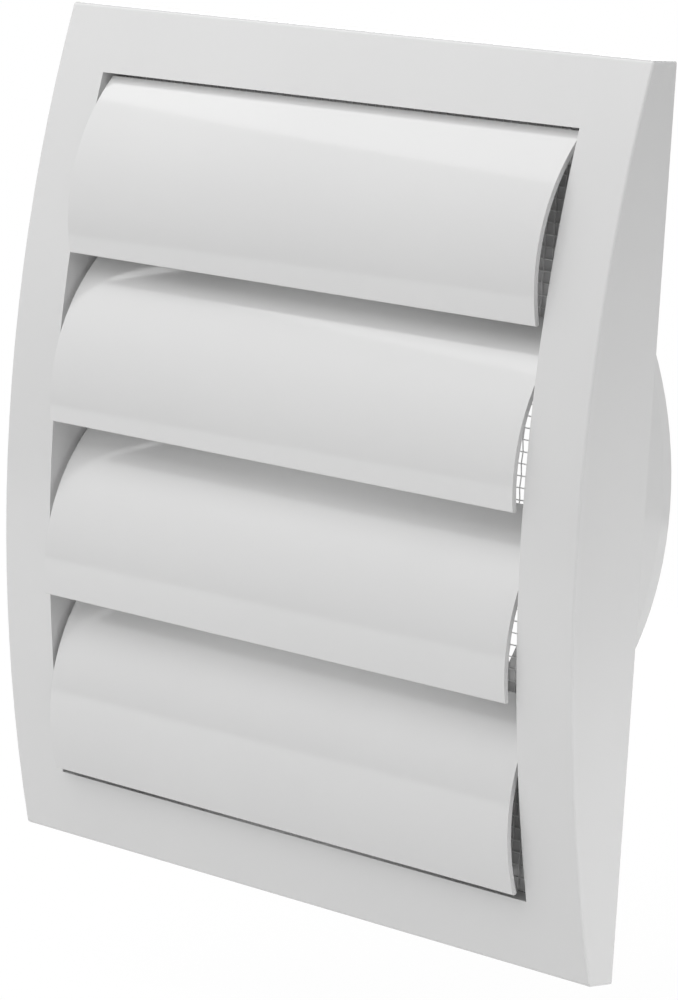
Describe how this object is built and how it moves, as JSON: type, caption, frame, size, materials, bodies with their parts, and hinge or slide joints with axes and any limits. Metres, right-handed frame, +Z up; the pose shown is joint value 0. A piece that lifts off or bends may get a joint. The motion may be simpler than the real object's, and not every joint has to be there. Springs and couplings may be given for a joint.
{
  "type": "louvred vent grille",
  "caption": "Square wall grille with an arched face, hanging curved louvre blades over an insect screen, and a round spigot on its back that fits into an air duct.",
  "frame": {"origin": "centre of the duct spigot, on the plane where the frame meets the wall", "axes": "+Y into the wall along the spigot, +Z up when fitted, +X to the right when facing the grille"},
  "size_m": [0.165, 0.0449, 0.165],
  "materials": {
    "frame_plastic": "smooth white moulded plastic, satin gloss",
    "blade_plastic": "smooth white moulded plastic, glossy",
    "screen_netting": "white woven plastic netting",
    "flange_plastic": "smooth white moulded plastic, satin gloss"
  },
  "bodies": {
    "housing": {"front_frame": "frame_plastic", "duct_flange": "flange_plastic", "insect_screen": "screen_netting"},
    "blade_1": {"louvre_1": "blade_plastic"},
    "blade_2": {"louvre_2": "blade_plastic"},
    "blade_3": {"louvre_3": "blade_plastic"},
    "blade_4": {"louvre_4": "blade_plastic"}
  },
  "joints": [
    {"name": "blade_1_swing", "type": "hinge", "parent": "housing", "child": "blade_1", "pos_m": [0, -0.006, 0.0652], "axis": [-1, 0, 0], "range_deg": [0, 50]},
    {"name": "blade_2_swing", "type": "hinge", "parent": "housing", "child": "blade_2", "pos_m": [0, -0.006, 0.0313], "axis": [-1, 0, 0], "range_deg": [0, 50]},
    {"name": "blade_3_swing", "type": "hinge", "parent": "housing", "child": "blade_3", "pos_m": [0, -0.006, -0.0026], "axis": [-1, 0, 0], "range_deg": [0, 50]},
    {"name": "blade_4_swing", "type": "hinge", "parent": "housing", "child": "blade_4", "pos_m": [0, -0.006, -0.0365], "axis": [-1, 0, 0], "range_deg": [0, 50]}
  ]
}
